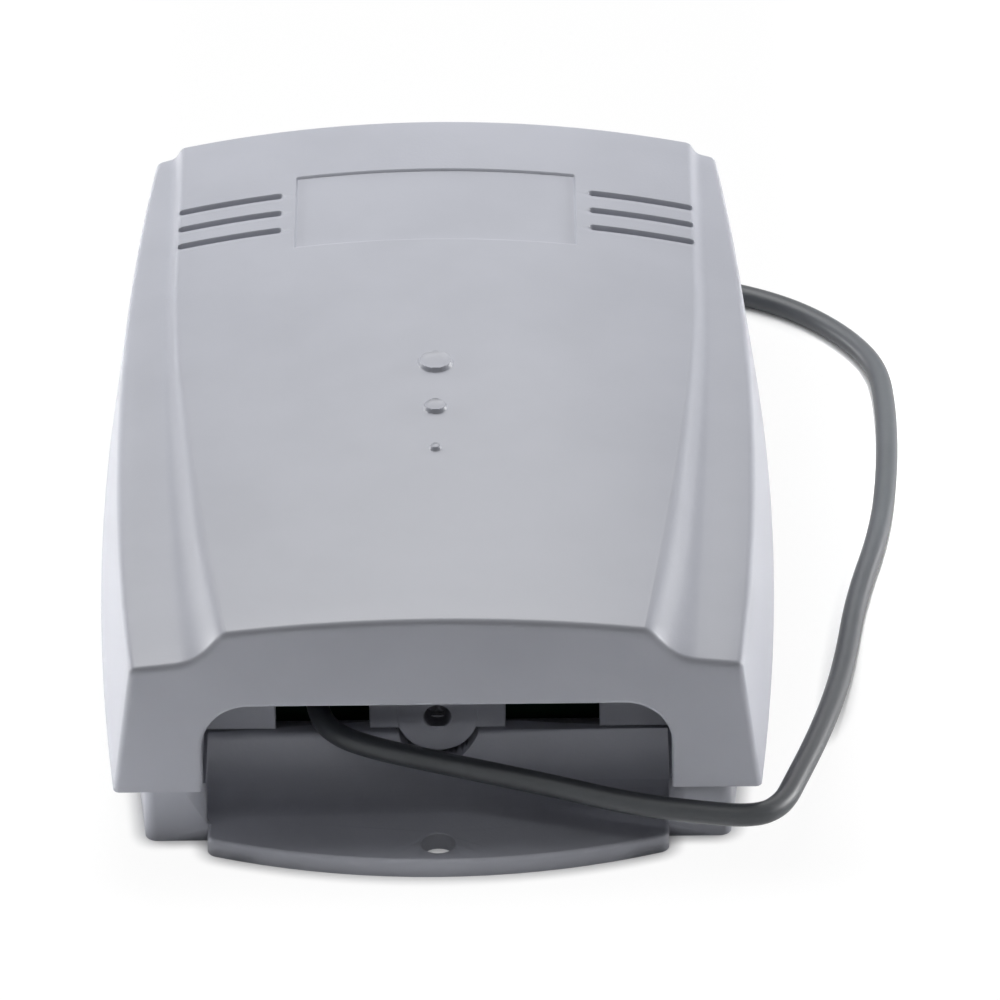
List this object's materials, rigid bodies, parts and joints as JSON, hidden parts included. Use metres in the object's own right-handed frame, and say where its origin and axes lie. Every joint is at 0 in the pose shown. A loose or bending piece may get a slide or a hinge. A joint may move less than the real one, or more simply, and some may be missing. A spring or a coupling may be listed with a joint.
{
  "type": "radio receiver",
  "caption": "Grey moulded radio receiver for a gate or door drive, with a hinged cover, a fixing tongue and a black wire aerial.",
  "frame": {"origin": "on the back face, under the middle of the case's length with its tongue and of its width", "axes": "+X to the right as seen from the cable opening, +Y from the fixing tongue to the far end, +Z out of the wall, towards the cover"},
  "size_m": [0.0689, 0.0936, 0.0224],
  "materials": {
    "cover_plastic": "fine matt grain, grey",
    "base_plastic": "fine matt grain, grey",
    "board_laminate": "green lacquer",
    "plated_steel": "tin plated",
    "terminal_plastic": "satin black",
    "relay_plastic": "satin dark blue",
    "black_plastic": "satin black",
    "button_plastic": "satin black",
    "cap_plastic": "gloss black",
    "capacitor_sleeve": "gloss sleeve",
    "chip_plastic": "moulded black",
    "varistor_coat": "dipped coat",
    "can_metal": "tinned sheet",
    "lamp_lens": "tinted lens",
    "resistor_coat": "beige coat",
    "copper_core": "bare stranded copper",
    "wire_sleeve": "satin black insulation"
  },
  "bodies": {
    "base": {"base_tray": "base_plastic", "circuit_board": "board_laminate", "board_screws": "plated_steel", "supply_terminal": "terminal_plastic", "aerial_terminal": "terminal_plastic", "output_one_terminal": "terminal_plastic", "output_two_terminal": "terminal_plastic", "terminal_clamps": "plated_steel", "terminal_screws": "plated_steel", "relay_one": "relay_plastic", "relay_two": "relay_plastic", "relay_pins": "plated_steel", "learn_switch_one": "black_plastic", "learn_switch_two": "black_plastic", "jumper_header": "black_plastic", "bulk_capacitor": "capacitor_sleeve", "small_capacitor": "capacitor_sleeve", "bridge_rectifier": "chip_plastic", "surge_varistor": "varistor_coat", "voltage_regulator": "chip_plastic", "regulator_tab": "plated_steel", "microcontroller": "chip_plastic", "microcontroller_legs": "plated_steel", "memory_socket": "black_plastic", "memory_chip": "chip_plastic", "clock_crystal": "can_metal", "radio_board": "board_laminate", "radio_can": "can_metal", "radio_filter": "can_metal", "radio_header": "plated_steel", "status_lamps": "lamp_lens", "relay_drivers": "chip_plastic", "relay_diodes": "chip_plastic", "resistors": "resistor_coat", "aerial_core": "copper_core", "aerial_wire": "wire_sleeve"},
    "cover": {"cover": "cover_plastic"},
    "learn_button_one": {"learn_button_one": "button_plastic"},
    "learn_button_two": {"learn_button_two": "button_plastic"},
    "jumper_cap": {"jumper_cap": "cap_plastic"}
  },
  "joints": [
    {"name": "cover_hinge", "type": "hinge", "parent": "base", "child": "cover", "pos_m": [0, 0.0412, 0.0065], "axis": [-1, 0, 0], "range_deg": [0, 75]},
    {"name": "learn_one_press", "type": "slide", "parent": "base", "child": "learn_button_one", "axis": [0, 0, -1], "range_m": [0, 0.00025], "stiffness_N_per_m": 4000},
    {"name": "learn_two_press", "type": "slide", "parent": "base", "child": "learn_button_two", "axis": [0, 0, -1], "range_m": [0, 0.00025], "stiffness_N_per_m": 4000},
    {"name": "jumper_pull", "type": "slide", "parent": "base", "child": "jumper_cap", "axis": [0, 0, 1], "range_m": [0, 0.0034]}
  ]
}
